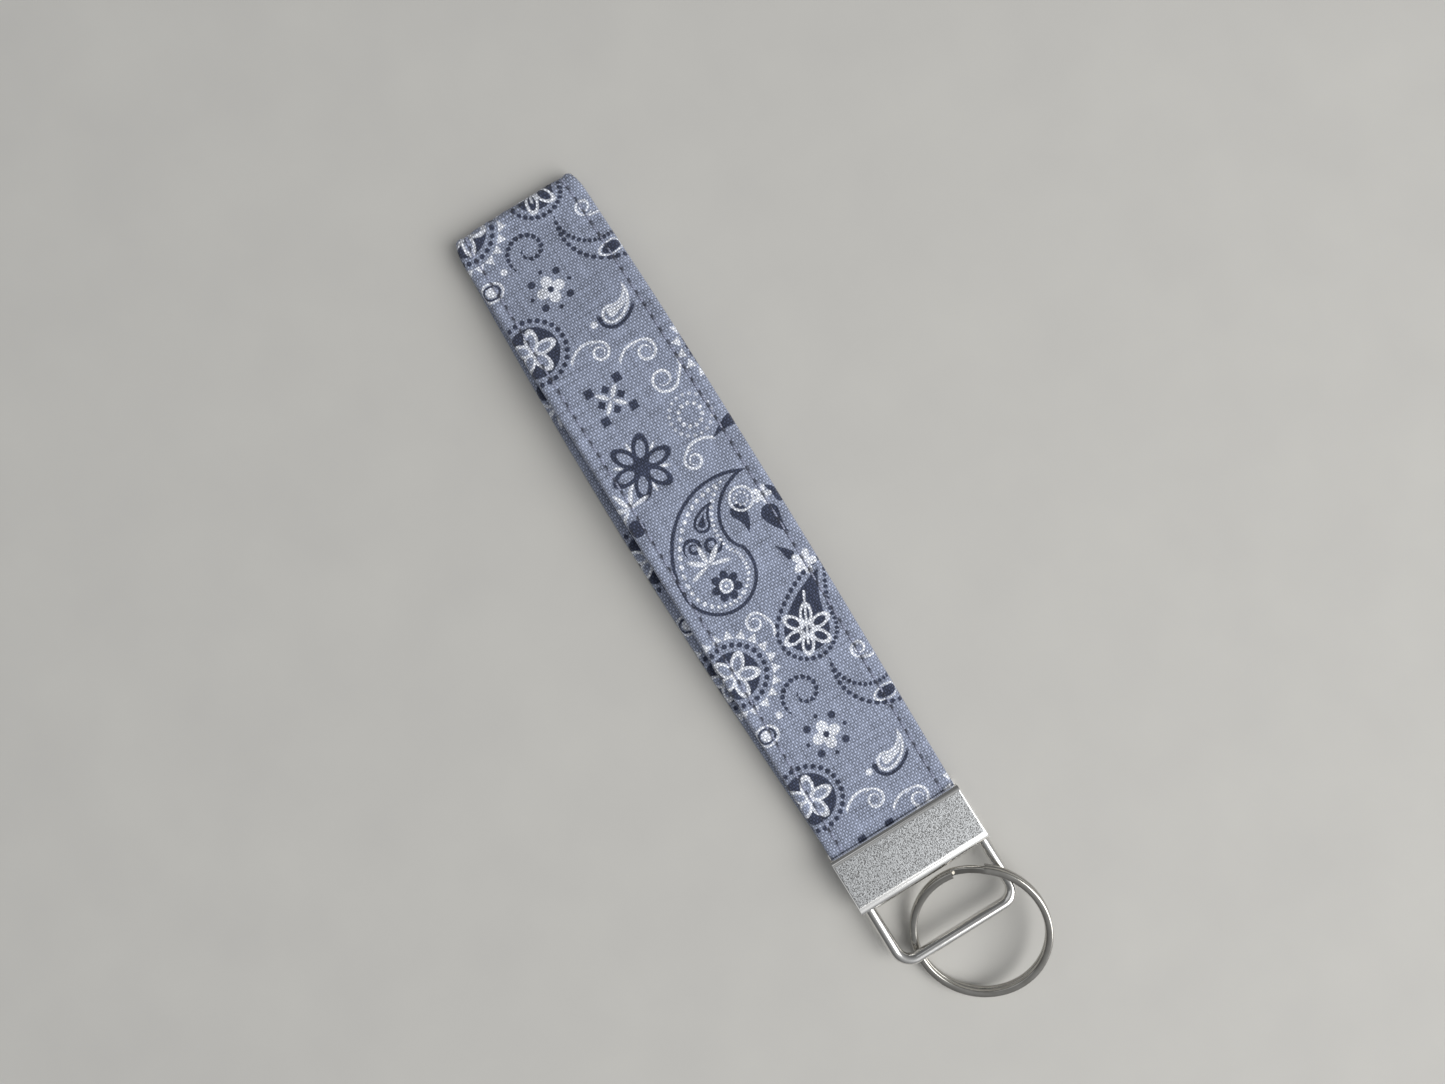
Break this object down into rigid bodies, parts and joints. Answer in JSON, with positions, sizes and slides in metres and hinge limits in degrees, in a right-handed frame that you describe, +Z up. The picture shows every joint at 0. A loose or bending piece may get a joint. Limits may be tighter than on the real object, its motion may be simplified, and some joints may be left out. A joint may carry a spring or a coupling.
{
  "type": "wristlet keychain",
  "caption": "Flat sewn cotton wrist loop with a crimped steel end, a hinged wire bail and a two-turn split ring for keys.",
  "frame": {"origin": "centre of the clamp's flat back face, which lies on the resting surface", "axes": "+X along the strap from the fold to the split ring, +Z up from the resting surface, +Y across the strap"},
  "size_m": [0.1604, 0.0276, 0.0082],
  "materials": {
    "printed_cotton": "plain-woven quilting cotton, blue-grey with a white and dark navy paisley print",
    "interfacing": "soft white non-woven interfacing",
    "thread": "matt lilac-grey sewing thread",
    "satin_nickel": "sandblasted satin nickel with polished bends",
    "polished_nickel": "bright nickel plate",
    "ring_steel": "bright nickel plate, a little duller than the bail"
  },
  "bodies": {
    "strap": {"fabric_cover": "printed_cotton", "interfacing_core": "interfacing", "needle_thread_left": "thread", "needle_thread_right": "thread", "bobbin_thread_left": "thread", "bobbin_thread_right": "thread", "crimp_clamp": "satin_nickel"},
    "bail": {"bail": "polished_nickel"},
    "ring": {"split_ring": "ring_steel"}
  },
  "joints": [
    {"name": "bail_swing", "type": "hinge", "parent": "strap", "child": "bail", "pos_m": [0.0036, 0, 0.00265], "axis": [0, -1, 0], "range_deg": [-39, 30]},
    {"name": "ring_swing", "type": "hinge", "parent": "bail", "child": "ring", "pos_m": [0.01646, 0, 0.00366], "axis": [0, 1, 0], "range_deg": [-6, 145]}
  ]
}
